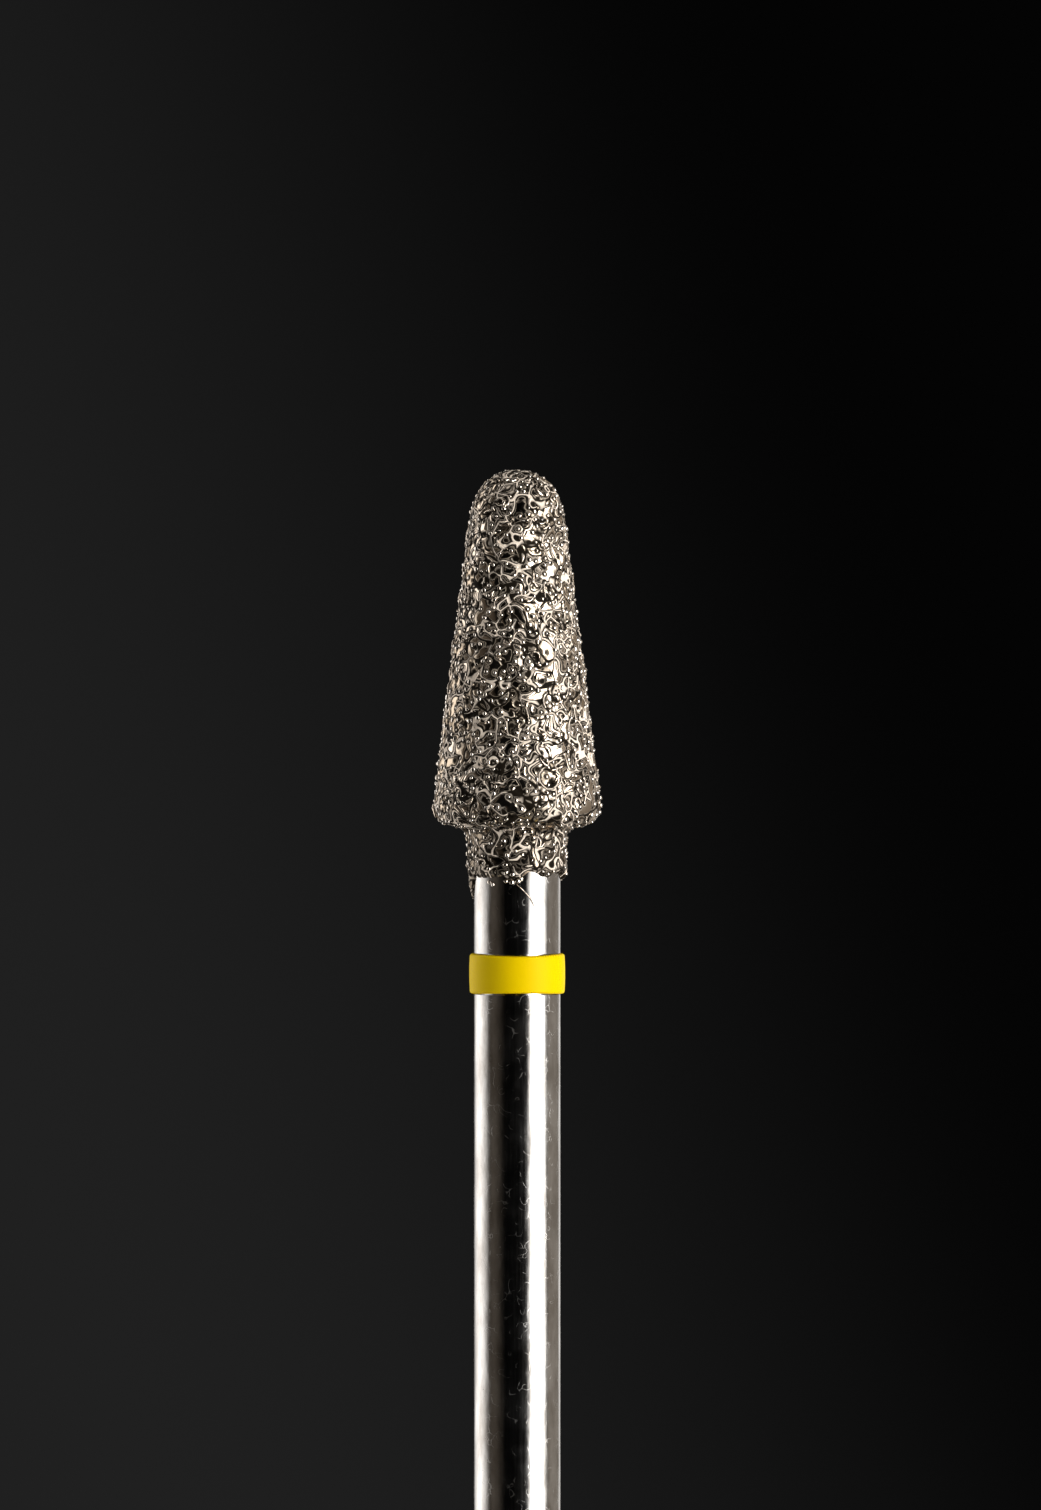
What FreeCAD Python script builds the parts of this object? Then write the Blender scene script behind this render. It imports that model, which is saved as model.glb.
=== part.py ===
import FreeCAD, Part
import math
import os
import random
import Sketcher

# A diamond bur on a straight handpiece shank: a turned steel blank, a colour ring in a
# seat round its shank, and a head coated with diamond crystals held in plated nickel.
# Millimetres and degrees. +Z runs along the axis, from the shank's end to the tip.

SIZES = {
    "overall_length": 44.5,
    "shank_diameter": 2.35,
    "end_chamfer": 0.3,
    "head_length": 9.23,
    "head_diameter": 4.29,
    "tip_radius": 1.1,
    "shoulder_chamfer": 0.41,
    "shoulder_slope": 12.0,
    "bond_thickness": 0.165,
    "bond_neck_round": 0.34,
    "bond_under_crystal": 0.06,
    "bond_roughness": 0.02,
    "neck_coat": 1.3,
    "edge_lip": 0.03,
    "edge_feather": 0.12,
    "edge_wave": 0.16,
    "drip_length": 0.6,
    "drip_width": 12.0,
    "crystal_width": 0.41,
    "crystal_proud": 0.075,
    "ring_drop": 3.5,
    "ring_height": 1.09,
    "ring_proud": 0.125,
    "ring_crown": 0.02,
    "ring_edge_round": 0.08,
    "ring_seat_depth": 0.16,
    "ring_clearance": 0.01,
}

# Heights and radii that more than one piece uses, as formulas on the sheet's cells
COAT = "(Sizes.bond_thickness + Sizes.crystal_proud)"
TIP_HEIGHT = f"(Sizes.overall_length - {COAT})"
SHOULDER_HEIGHT = f"({TIP_HEIGHT} - Sizes.head_length)"
SHANK_RADIUS = "(Sizes.shank_diameter / 2)"
HEAD_RADIUS = "(Sizes.head_diameter / 2)"
SLOPE = "(Sizes.shoulder_slope * 1 deg)"
NECK_HEIGHT = f"({SHOULDER_HEIGHT} - ({HEAD_RADIUS} - {SHANK_RADIUS}) * tan({SLOPE}))"
RING_TOP = f"({NECK_HEIGHT} - Sizes.ring_drop)"
RING_BOTTOM = f"({RING_TOP} - Sizes.ring_height)"
SEAT_RADIUS = f"({SHANK_RADIUS} - Sizes.ring_seat_depth)"
RING_MIDDLE = f"(({RING_BOTTOM} + {RING_TOP}) / 2)"
RING_BORE = f"({SEAT_RADIUS} + Sizes.ring_clearance)"
CROWN_RADIUS = "((Sizes.ring_height ^ 2 / 4 + Sizes.ring_crown ^ 2) / (2 * Sizes.ring_crown))"
CROWN_OFFSET = f"({CROWN_RADIUS} - {SHANK_RADIUS} - Sizes.ring_proud)"

# Waves of the coat's lower edge: lobes round the neck, share of the height, shift in radians
EDGE_SWELLS = ((3, 0.55, 0.6), (8, 0.45, 2.0))
DRIP_TURN = math.pi

# Scatter of the coat: points and peaks in shares of a cell, peak heights in shares of the mean
SEED = 21
UNEVEN_TURN = 0.14
UNEVEN_STEP = 0.14
UNEVEN_PEAK = 0.14
UNEVEN_HEIGHT = 0.4

# Limits of a cell that can seat a crystal: ratio of its diagonals, offset of their middles in widths
MOST_UNEQUAL = 1.9
MOST_SKEWED = 0.3

# Points on the coat's smallest ring, and the ratio from one count to the next larger one
FEWEST_POINTS = 5
COUNT_STEP = 1.16

# Distance in millimetres below which two places count as one
SAME_PLACE = 1e-4
ORIGIN_POINT = (-1, 1)
UP = FreeCAD.Vector(0, 0, 1)

doc = FreeCAD.newDocument("diamond_bur")
sheet = doc.addObject("Spreadsheet::Sheet", "Sizes")
for row, (alias, number) in enumerate(SIZES.items(), start=1):
    sheet.set(f"A{row}", alias)
    sheet.set(f"B{row}", str(number))
    sheet.setAlias(f"B{row}", alias)
doc.recompute()


def value(formula):
    """The number that a formula on the sheet's cells gives."""
    result = sheet.evalExpression(formula)
    return float(getattr(result, "Value", result))


def new_body(name):
    body = doc.addObject("PartDesign::Body", name)
    body.Label = name
    body.Placement = FreeCAD.Placement()
    return body


def new_sketch(body, name):
    """A sketch on the body's XZ plane: x is the radius and y is the height."""
    sketch = body.newObject("Sketcher::SketchObject", name)
    plane = next(item for item in body.Origin.OriginFeatures if item.Role == "XZ_Plane")
    sketch.AttachmentSupport = [(plane, "")]
    sketch.MapMode = "FlatFace"
    return sketch


def flat(x, y):
    return FreeCAD.Vector(x, y, 0)


def join(sketch, kind, pairs):
    """Join curves at their ends, Coincident or Tangent; a pair is ((curve, end), (curve, end))."""
    for first, second in pairs:
        sketch.addConstraint(Sketcher.Constraint(kind, *first, *second))


def line_between(sketch, first, second):
    return sketch.addGeometry(Part.LineSegment(first, second))


def dimension(sketch, kind, where, formula):
    """A driving dimension bound to a formula on the sheet."""
    number = value(formula)
    if kind == "Angle":
        number = math.radians(number)
    index = sketch.addConstraint(Sketcher.Constraint(kind, *where, number))
    sketch.setExpression(f"Constraints[{index}]", formula)


def revolve(body, kind, name, sketch):
    """A full turn of the sketch round its vertical axis, which adds or takes away."""
    feature = body.newObject(f"PartDesign::{kind}", name)
    feature.Profile = sketch
    feature.ReferenceAxis = (sketch, ["V_Axis"])
    feature.Angle = 360
    sketch.Visibility = False
    doc.recompute()
    return feature


def circles(shape, radius, height):
    """Names of the circular edges of that radius at that height."""
    found = []
    for number, edge in enumerate(shape.Edges, start=1):
        if edge.Degenerated or not isinstance(edge.Curve, Part.Circle):
            continue
        circle = edge.Curve
        if math.dist((circle.Radius, circle.Center.z), (radius, height)) < SAME_PLACE:
            found.append(f"Edge{number}")
    return found


def sides_of(corners):
    """Pairs of neighbours round a loop."""
    return list(zip(corners, corners[1:] + corners[:1]))


# Steel blank

def taper_lean():
    """Angle from the axis, in radians, of the side that runs from the shoulder to touch the tip."""
    tip_radius = value("Sizes.tip_radius")
    rise = value(TIP_HEIGHT) - tip_radius - value(SHOULDER_HEIGHT)
    head_radius = value(HEAD_RADIUS)
    return math.atan2(head_radius, rise) - math.asin(tip_radius / math.hypot(head_radius, rise))


def steel_blank():
    body = new_body("steel_blank")
    sketch = new_sketch(body, "blank_profile")
    lean = taper_lean()
    tip_radius = value("Sizes.tip_radius")
    centre = flat(0, value(TIP_HEIGHT) - tip_radius)
    corners = [flat(0, 0), flat(value(SHANK_RADIUS), 0), flat(value(SHANK_RADIUS), value(NECK_HEIGHT)),
               flat(value(HEAD_RADIUS), value(SHOULDER_HEIGHT)),
               centre + flat(math.cos(lean), math.sin(lean)) * tip_radius]
    end, shank, back, taper = [line_between(sketch, first, second)
                               for first, second in zip(corners, corners[1:])]
    circle = Part.Circle(centre, UP, tip_radius)
    tip = sketch.addGeometry(Part.ArcOfCircle(circle, lean, math.pi / 2))
    axis = line_between(sketch, flat(0, value(TIP_HEIGHT)), flat(0, 0))
    join(sketch, "Coincident", [((axis, 2), (end, 1)), ((end, 1), ORIGIN_POINT),
                                ((end, 2), (shank, 1)), ((shank, 2), (back, 1)),
                                ((back, 2), (taper, 1)), ((tip, 2), (axis, 1))])
    join(sketch, "Tangent", [((taper, 2), (tip, 1))])
    sketch.addConstraint(Sketcher.Constraint("Horizontal", end))
    sketch.addConstraint(Sketcher.Constraint("Vertical", shank))
    sketch.addConstraint(Sketcher.Constraint("Vertical", axis))
    sketch.addConstraint(Sketcher.Constraint("PointOnObject", tip, 3, axis))
    dimension(sketch, "DistanceX", (*ORIGIN_POINT, end, 2), SHANK_RADIUS)
    dimension(sketch, "DistanceX", (*ORIGIN_POINT, back, 2), HEAD_RADIUS)
    dimension(sketch, "DistanceY", (*ORIGIN_POINT, back, 2), SHOULDER_HEIGHT)
    dimension(sketch, "DistanceY", (*ORIGIN_POINT, tip, 2), TIP_HEIGHT)
    dimension(sketch, "Angle", (back,), SLOPE)
    dimension(sketch, "Radius", (tip,), "Sizes.tip_radius")
    turned = revolve(body, "Revolution", "turned_blank", sketch)

    seat_sketch = new_sketch(body, "ring_seat_profile")
    rectangle(seat_sketch, SEAT_RADIUS, f"({SHANK_RADIUS} + Sizes.ring_seat_depth)",
              f"({RING_BOTTOM} - Sizes.ring_clearance)", f"({RING_TOP} + Sizes.ring_clearance)")
    seat = revolve(body, "Groove", "ring_seat", seat_sketch)
    if seat.Shape.Volume >= turned.Shape.Volume:
        raise ValueError("the ring seat takes nothing off the shank")

    end_cut = chamfer(body, "end_chamfer", seat, value(SHANK_RADIUS), 0)
    chamfer(body, "shoulder_chamfer", end_cut, value(HEAD_RADIUS), value(SHOULDER_HEIGHT))
    return body


def chamfer(body, name, base, radius, height):
    """A chamfer on the circular edge of that radius and height, with the size of the same name."""
    feature = body.newObject("PartDesign::Chamfer", name)
    feature.Base = (base, circles(base.Shape, radius, height))
    feature.setExpression("Size", f"Sizes.{name}")
    doc.recompute()
    return feature


def rectangle(sketch, inner, outer, bottom, top):
    """A rectangle between two radii and two heights, each given as a formula."""
    left, right, low, high = [value(formula) for formula in (inner, outer, bottom, top)]
    corners = [flat(left, low), flat(right, low), flat(right, high), flat(left, high)]
    sides = [line_between(sketch, first, second) for first, second in sides_of(corners)]
    join(sketch, "Coincident", [((first, 2), (second, 1)) for first, second in sides_of(sides)])
    for side, kind in zip(sides, ("Horizontal", "Vertical", "Horizontal", "Vertical")):
        sketch.addConstraint(Sketcher.Constraint(kind, side))
    dimension(sketch, "DistanceX", (*ORIGIN_POINT, sides[0], 1), inner)
    dimension(sketch, "DistanceX", (*ORIGIN_POINT, sides[0], 2), outer)
    dimension(sketch, "DistanceY", (*ORIGIN_POINT, sides[0], 1), bottom)
    dimension(sketch, "DistanceY", (*ORIGIN_POINT, sides[2], 1), top)


# Colour ring

def colour_ring():
    """A band with a crowned outside and rounded edges, seated in the shank."""
    body = new_body("colour_ring")
    inner_radius = value(RING_BORE)
    crown_radius = value(CROWN_RADIUS)
    edge_round = value("Sizes.ring_edge_round")
    low = value(RING_BOTTOM)
    high = value(RING_TOP)
    crown_centre = flat(-value(CROWN_OFFSET), value(RING_MIDDLE))
    reach = math.asin(((high - low) / 2 - edge_round) / (crown_radius - edge_round))
    across = (crown_radius - edge_round) * math.cos(reach)

    def corner(height, first_angle, last_angle):
        circle = Part.Circle(flat(crown_centre.x + across, height), UP, edge_round)
        return sketch.addGeometry(Part.ArcOfCircle(circle, first_angle, last_angle))

    sketch = new_sketch(body, "ring_profile")
    edge_radius = crown_centre.x + across
    inside = line_between(sketch, flat(inner_radius, high), flat(inner_radius, low))
    foot = line_between(sketch, flat(inner_radius, low), flat(edge_radius, low))
    low_round = corner(low + edge_round, -math.pi / 2, -reach)
    circle = Part.Circle(crown_centre, UP, crown_radius)
    crown = sketch.addGeometry(Part.ArcOfCircle(circle, -reach, reach))
    high_round = corner(high - edge_round, reach, math.pi / 2)
    top = line_between(sketch, flat(edge_radius, high), flat(inner_radius, high))
    join(sketch, "Coincident", [((inside, 2), (foot, 1)), ((top, 2), (inside, 1))])
    join(sketch, "Tangent", [((foot, 2), (low_round, 1)), ((low_round, 2), (crown, 1)),
                             ((crown, 2), (high_round, 1)), ((high_round, 2), (top, 1))])
    sketch.addConstraint(Sketcher.Constraint("Vertical", inside))
    sketch.addConstraint(Sketcher.Constraint("Horizontal", foot))
    sketch.addConstraint(Sketcher.Constraint("Horizontal", top))
    sketch.addConstraint(Sketcher.Constraint("Equal", low_round, high_round))
    dimension(sketch, "DistanceX", (*ORIGIN_POINT, inside, 2), RING_BORE)
    dimension(sketch, "DistanceY", (*ORIGIN_POINT, inside, 2), RING_BOTTOM)
    dimension(sketch, "DistanceY", (*ORIGIN_POINT, inside, 1), RING_TOP)
    dimension(sketch, "Radius", (low_round,), "Sizes.ring_edge_round")
    dimension(sketch, "Radius", (crown,), CROWN_RADIUS)
    dimension(sketch, "DistanceX", (crown, 3, *ORIGIN_POINT), CROWN_OFFSET)
    dimension(sketch, "DistanceY", (*ORIGIN_POINT, crown, 3), RING_MIDDLE)
    revolve(body, "Revolution", "band", sketch)
    return body


# Outline of the coat

def side_normal(way):
    """Outward normal of an outline that runs down with the steel behind it."""
    return flat(-way.y, way.x)


def coat_outline():
    """Half outline of the nickel's outer face, from the tip to its mean lower edge."""
    thickness = value("Sizes.bond_thickness")
    lean = taper_lean()
    slope = math.radians(value("Sizes.shoulder_slope"))
    taper_way = flat(math.sin(lean), -math.cos(lean))
    back_way = flat(-math.cos(slope), -math.sin(slope))
    neck_way = flat(0, -1)

    def rounded(corner, before, after, radius):
        """Arc that rounds the nickel over a sharp corner of the steel."""
        first = side_normal(before)
        second = side_normal(after)
        corner = corner + (first + second) * (thickness / (1 + first.dot(second)))
        turn = before.getAngle(after)
        reach = radius * math.tan(turn / 2)
        inward = (after - before).normalize()
        middle = corner + inward * (radius / math.cos(turn / 2) - radius)
        return Part.Arc(corner - before * reach, middle, corner + after * reach)

    centre = flat(0, value(TIP_HEIGHT) - value("Sizes.tip_radius"))
    radius = value("Sizes.tip_radius") + thickness
    half_way = math.pi / 4 + lean / 2
    tip = Part.Arc(centre + flat(0, radius),
                   centre + flat(math.cos(half_way), math.sin(half_way)) * radius,
                   centre + side_normal(taper_way) * radius)
    shoulder = rounded(flat(value(HEAD_RADIUS), value(SHOULDER_HEIGHT)), taper_way, back_way,
                       value("Sizes.shoulder_chamfer") + thickness)
    neck = rounded(flat(value(SHANK_RADIUS), value(NECK_HEIGHT)), back_way, neck_way,
                   value("Sizes.bond_neck_round"))
    foot = flat(neck.EndPoint.x, value(NECK_HEIGHT) - value("Sizes.neck_coat"))
    return Part.Wire([tip.toShape(), Part.makeLine(tip.EndPoint, shoulder.StartPoint),
                      shoulder.toShape(), Part.makeLine(shoulder.EndPoint, neck.StartPoint),
                      neck.toShape(), Part.makeLine(neck.EndPoint, foot)])


# Nickel bond and diamond crystals

class CoatLattice:
    """The coat's outer face as rings of points joined by triangles, down to its ragged edge.

    Nearly square pairs of triangles, none beside another, are the seats of the crystals.
    """

    def __init__(self):
        self.random = random.Random(SEED)
        self.width = value("Sizes.crystal_width")
        self.seat_depth = value("Sizes.bond_thickness - Sizes.bond_under_crystal")
        self.proud = value("Sizes.crystal_proud")
        self.points = []
        self.triangles = []
        self.lay_rings()
        self.seats = self.pick_seats()

    def uneven(self, amount):
        return self.random.uniform(-amount, amount)

    def add_point(self, radius, turn, height):
        self.points.append(FreeCAD.Vector(radius * math.cos(turn), radius * math.sin(turn), height))
        return len(self.points) - 1

    def lay_rings(self):
        """Rings down the outline, each half a step round from the ring above it."""
        outline = coat_outline()
        steps = round(2 * outline.Length / self.width)
        line = outline.discretize(Number=steps + 1)
        roughness = value("Sizes.bond_roughness")
        neck_height = value(NECK_HEIGHT)
        neck_coat = value("Sizes.neck_coat")
        ring = [self.add_point(0, 0, line[0].y)]
        for number in range(1, steps + 1):
            above = ring
            ring = []
            way = (line[min(number + 1, steps)] - line[number - 1]).normalize()
            out = side_normal(way)
            count = ring_count(2 * math.pi * line[number].x / self.width)
            for step in range(count):
                turn = 2 * math.pi * (step + number % 2 / 2 + self.uneven(UNEVEN_TURN)) / count
                spot = line[number] + way * self.uneven(UNEVEN_STEP * self.width)
                spot += out * self.uneven(roughness)
                down_neck = max(0, neck_height - spot.y) / neck_coat
                ring.append(self.add_point(spot.x, turn, spot.y - down_neck * edge_wave(turn)))
            self.join_rings(above, ring)
        self.close_edge(ring)

    def close_edge(self, ring):
        """Thin the nickel down to its lip and close the envelope inside the steel."""
        shank_radius = value(SHANK_RADIUS)
        feather = value("Sizes.edge_feather")
        inside = shank_radius - value("Sizes.bond_thickness")
        self.first_thin_point = len(self.points)
        drip = value("Sizes.drip_length")
        for radius, hang in ((shank_radius + value("Sizes.edge_lip"), drip), (inside, 0)):
            above = ring
            ring = []
            for point in [self.points[index] for index in above]:
                turn = math.atan2(point.y, point.x)
                drop = feather + hang * drip_share(turn)
                ring.append(self.add_point(radius, turn, point.z - drop))
            self.join_rings(above, ring)
        lowest = min(self.points[index].z for index in ring)
        self.join_rings(ring, [self.add_point(0, 0, lowest)])

    def join_rings(self, upper, lower):
        """A belt of triangles between two rings, always by the shorter of the next two sides."""
        high = 0
        low = 0
        while high < len(upper) or low < len(lower):
            here = upper[high % len(upper)]
            there = lower[low % len(lower)]
            next_here = upper[(high + 1) % len(upper)]
            next_there = lower[(low + 1) % len(lower)]
            if high == len(upper):
                step_up = False
            elif low == len(lower):
                step_up = True
            else:
                step_up = self.distance(next_here, there) < self.distance(here, next_there)
            if step_up:
                high += 1
            else:
                low += 1
            corner = next_here if step_up else next_there
            if corner not in (here, there):
                self.triangles.append((here, there, corner))

    def distance(self, first, second):
        return self.points[first].distanceToPoint(self.points[second])

    def pick_seats(self):
        """Corners of the crystals' cells, whose triangles leave the plain nickel."""
        owners = {}
        for number, triangle in enumerate(self.triangles):
            for side in sides_of(triangle):
                owners.setdefault(frozenset(side), []).append(number)
        diagonals = list(owners)
        self.random.shuffle(diagonals)
        seats = []
        rims = set()
        covered = set()
        for diagonal in diagonals:
            first, second = owners[diagonal]
            corners = self.cell(self.triangles[first], self.triangles[second])
            rim = {frozenset(side) for side in sides_of(corners)}
            if rims.isdisjoint(rim) and self.is_seat(corners):
                rims |= rim
                covered |= {first, second}
                seats.append(corners)
        self.triangles = [triangle for number, triangle in enumerate(self.triangles)
                          if number not in covered]
        return seats

    def cell(self, first, second):
        """The four corners of two triangles that share a side, in order round the cell."""
        alone = next(index for index in first if index not in second)
        across = next(index for index in second if index not in first)
        start = first.index(alone)
        return (alone, first[(start + 1) % 3], across, first[(start + 2) % 3])

    def is_seat(self, corners):
        """True where the cell is nearly square and lies in nickel of full thickness."""
        one, two, three, four = [self.points[index] for index in corners]
        lengths = sorted((self.distance(corners[0], corners[2]), self.distance(corners[1], corners[3])))
        skew = (one + three - two - four).Length / 2
        return (max(corners) < self.first_thin_point
                and lengths[1] < MOST_UNEQUAL * lengths[0]
                and skew < MOST_SKEWED * self.width)

    def build(self):
        """Return the envelope with its seats, and the crystals that fill them."""
        envelope = list(self.triangles)
        crystals = []
        for corners in self.seats:
            rim = [self.points[index] for index in corners]
            along = rim[0] - rim[2]
            across = rim[1] - rim[3]
            out = along.cross(across).normalize()
            centre = (rim[0] + rim[1] + rim[2] + rim[3]) / 4
            lean = along * self.uneven(UNEVEN_PEAK) + across * self.uneven(UNEVEN_PEAK)
            peak = centre + lean + out * self.proud * (1 + self.uneven(UNEVEN_HEIGHT))
            root = centre - out * self.seat_depth
            self.points.append(root)
            bottom = len(self.points) - 1
            envelope += [(first, second, bottom) for first, second in sides_of(corners)]
            faces = [side + (4,) for side in sides_of((0, 1, 2, 3))]
            faces += [side + (5,) for side in sides_of((3, 2, 1, 0))]
            crystals.append(faceted_solid(rim + [peak, root], faces))
        return faceted_solid(self.points, envelope), Part.Compound(crystals)


def ring_count(wanted):
    """Points on a ring, in steps, so that the cells of neighbouring rings mostly line up."""
    return max(FEWEST_POINTS, round(COUNT_STEP ** round(math.log(wanted, COUNT_STEP))))


def edge_wave(turn):
    """How far the coat's ragged edge hangs below its mean height at an angle."""
    swell = sum(share * math.sin(lobes * turn + shift) for lobes, share, shift in EDGE_SWELLS)
    return value("Sizes.edge_wave") * swell


def drip_share(turn):
    """1 at the middle of the drip, falling away on both sides of it."""
    away = math.remainder(turn - DRIP_TURN, 2 * math.pi)
    return math.exp(-(away / math.radians(value("Sizes.drip_width"))) ** 2)


def faceted_solid(points, triangles):
    """Closed solid with flat triangular faces."""
    mesh = Part.Shape()
    mesh.makeShapeFromMesh(([tuple(point) for point in points], triangles), SAME_PLACE)
    return Part.Solid(Part.Shell(mesh.Faces))


def new_feature(name, shape):
    feature = doc.addObject("Part::Feature", name)
    feature.Label = name
    feature.Shape = shape
    feature.Placement = FreeCAD.Placement()
    return feature


def export(parts):
    """Write one file a piece, once every object of the document is sound."""
    failed = [item.Name for item in doc.Objects if {"Invalid", "Error"} & set(item.State)]
    failed += [part.Label for part in parts if part.Shape.isNull() or not part.Shape.isValid()]
    if failed:
        raise RuntimeError(f"not built: {failed}")
    os.makedirs("parts", exist_ok=True)
    for part in parts:
        part.Shape.exportStep(f"parts/{part.Label}.step")
        print(part.Label, len(part.Shape.Solids), "solids,", round(part.Shape.Volume, 4), "mm3")


def main():
    blank = steel_blank()
    ring = colour_ring()
    envelope, crystals = CoatLattice().build()
    bond = new_feature("nickel_bond", envelope.cut(blank.Shape))
    grit = new_feature("diamond_grit", crystals)
    doc.recompute()
    export([blank, ring, bond, grit])


main()
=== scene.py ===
import math
import random

import bmesh
import bpy
import numpy as np
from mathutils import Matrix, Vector, kdtree


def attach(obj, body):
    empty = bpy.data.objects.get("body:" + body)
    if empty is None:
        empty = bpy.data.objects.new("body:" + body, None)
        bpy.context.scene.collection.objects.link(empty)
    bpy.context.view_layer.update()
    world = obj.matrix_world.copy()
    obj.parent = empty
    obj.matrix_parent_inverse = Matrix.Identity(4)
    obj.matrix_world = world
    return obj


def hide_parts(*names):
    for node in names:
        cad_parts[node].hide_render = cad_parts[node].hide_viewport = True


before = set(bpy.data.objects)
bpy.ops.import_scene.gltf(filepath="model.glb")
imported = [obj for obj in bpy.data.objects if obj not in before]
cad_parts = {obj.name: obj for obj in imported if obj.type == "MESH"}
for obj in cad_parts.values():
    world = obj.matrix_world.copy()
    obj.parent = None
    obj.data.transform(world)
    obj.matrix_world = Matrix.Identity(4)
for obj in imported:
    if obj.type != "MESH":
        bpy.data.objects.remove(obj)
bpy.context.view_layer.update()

MM = 0.001

# Sizes of the part's source, in millimetres
OVERALL_LENGTH = 44.5
SHANK_RADIUS = 1.175
END_CHAMFER = 0.3
HEAD_LENGTH = 9.23
HEAD_RADIUS = 2.145
TIP_RADIUS = 1.1
SHOULDER_CHAMFER = 0.41
SHOULDER_SLOPE = math.radians(12)
BOND_THICKNESS = 0.165
BOND_NECK_ROUND = 0.34
NECK_COAT = 1.3
CRYSTAL_PROUD = 0.075
EDGE_WAVE = 0.16
RING_DROP = 3.5
RING_HEIGHT = 1.09
RING_RADIUS = 1.3
RING_CROWN = 0.02
RING_EDGE_ROUND = 0.08
RING_SEAT_DEPTH = 0.16
RING_CLEARANCE = 0.01

TIP_HEIGHT = OVERALL_LENGTH - BOND_THICKNESS - CRYSTAL_PROUD
TIP_CENTRE = (0, TIP_HEIGHT - TIP_RADIUS)
SHOULDER_HEIGHT = TIP_HEIGHT - HEAD_LENGTH
NECK_HEIGHT = SHOULDER_HEIGHT - (HEAD_RADIUS - SHANK_RADIUS) * math.tan(SHOULDER_SLOPE)
RING_TOP = NECK_HEIGHT - RING_DROP
RING_BOTTOM = RING_TOP - RING_HEIGHT
SEAT_RADIUS = SHANK_RADIUS - RING_SEAT_DEPTH

# How far the head's side leans inward on its way up
TAPER_RISE = TIP_CENTRE[1] - SHOULDER_HEIGHT
TAPER_LEAN = (math.atan2(HEAD_RADIUS, TAPER_RISE)
              - math.asin(TIP_RADIUS / math.hypot(HEAD_RADIUS, TAPER_RISE)))

FULL_TURN = 2 * math.pi
QUARTER_TURN = math.pi / 2
FRONT = -QUARTER_TURN
LEFT = math.pi


# Camera: level, square on to the axis, with a long lens

FRAME_HEIGHT = 40.92 * MM
AIM = Vector((0.09 * MM, 0, 36.7 * MM))
LENS = 150
SENSOR = 36

camera_data = bpy.data.cameras.new("camera")
camera_data.lens = LENS
camera_data.sensor_width = SENSOR
camera_data.clip_start = 0.01
camera_data.clip_end = 10
camera = bpy.data.objects.new("camera", camera_data)
camera.location = AIM - Vector((0, FRAME_HEIGHT * LENS / SENSOR, 0))
camera.rotation_euler = (QUARTER_TURN, 0, 0)
bpy.context.scene.collection.objects.link(camera)
bpy.context.scene.camera = camera
bpy.context.scene.view_settings.view_transform = "Standard"


# Meshes

def new_piece(name, points, faces, material, sharp=None):
    """A shaded mesh object from points in millimetres, with edges kept sharp from an angle in degrees."""
    mesh = bpy.data.meshes.new(name)
    mesh.from_pydata((np.asarray(points) * MM).tolist(), [], faces)
    mesh.validate()
    mesh.shade_smooth()
    if sharp is not None:
        mesh.set_sharp_from_angle(angle=math.radians(sharp))
    mesh.materials.append(material)
    piece = bpy.data.objects.new(name, mesh)
    bpy.context.scene.collection.objects.link(piece)
    return piece


def arc(centre, radius, first, last, steps):
    """Points of an arc in the outline's plane, as (radius, height) pairs."""
    turns = np.linspace(first, last, steps)
    return [(centre[0] + radius * math.cos(turn), centre[1] + radius * math.sin(turn)) for turn in turns]


def turned(outline, segments):
    """Points and faces of an outline turned round the axis, with fans where it meets the axis."""
    points = []
    rows = []
    for radius, height in outline:
        if radius < 1e-9:
            rows.append([len(points)])
            points.append((0, 0, height))
            continue
        rows.append(list(range(len(points), len(points) + segments)))
        for step in range(segments):
            turn = FULL_TURN * step / segments
            points.append((radius * math.cos(turn), radius * math.sin(turn), height))
    faces = []
    for low, high in zip(rows, rows[1:]):
        for step in range(segments):
            after = (step + 1) % segments
            if len(low) == 1:
                faces.append((low[0], high[after], high[step]))
            elif len(high) == 1:
                faces.append((low[step], low[after], high[0]))
            else:
                faces.append((low[step], low[after], high[after], high[step]))
    return points, faces


def waves(points, length, seed, count=30):
    """A smooth random field of unit variance, made of waves of one length that run all ways."""
    chance = np.random.default_rng(seed)
    ways = chance.normal(size=(count, 3))
    ways *= FULL_TURN / length / np.linalg.norm(ways, axis=1)[:, None]
    shifts = chance.uniform(0, FULL_TURN, count)
    return np.cos(points @ ways.T + shifts).sum(axis=1) * math.sqrt(2 / count)


def layered(points, layers):
    """The sum of several fields of waves, each given by its length, height and seed."""
    return sum(height * waves(points, length, seed) for length, height, seed in layers)


def smooth_step(values, low, high):
    """0 up to the low value and 1 from the high one, with an even curve between them."""
    share = np.clip((values - low) / (high - low), 0, 1)
    return share * share * (3 - 2 * share)


def angle_from(turns, middle):
    """Angles from a middle one, the short way round."""
    return (turns - middle + math.pi) % FULL_TURN - math.pi


def hump(turns, middle, width):
    """1 at the middle angle, falling away on both sides of it."""
    return np.exp(-(angle_from(turns, middle) / width) ** 2)


def tree_of(places):
    """A tree that finds the nearest of the places."""
    tree = kdtree.KDTree(len(places))
    for number, place in enumerate(places):
        tree.insert(place, number)
    tree.balance()
    return tree


# Materials

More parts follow.
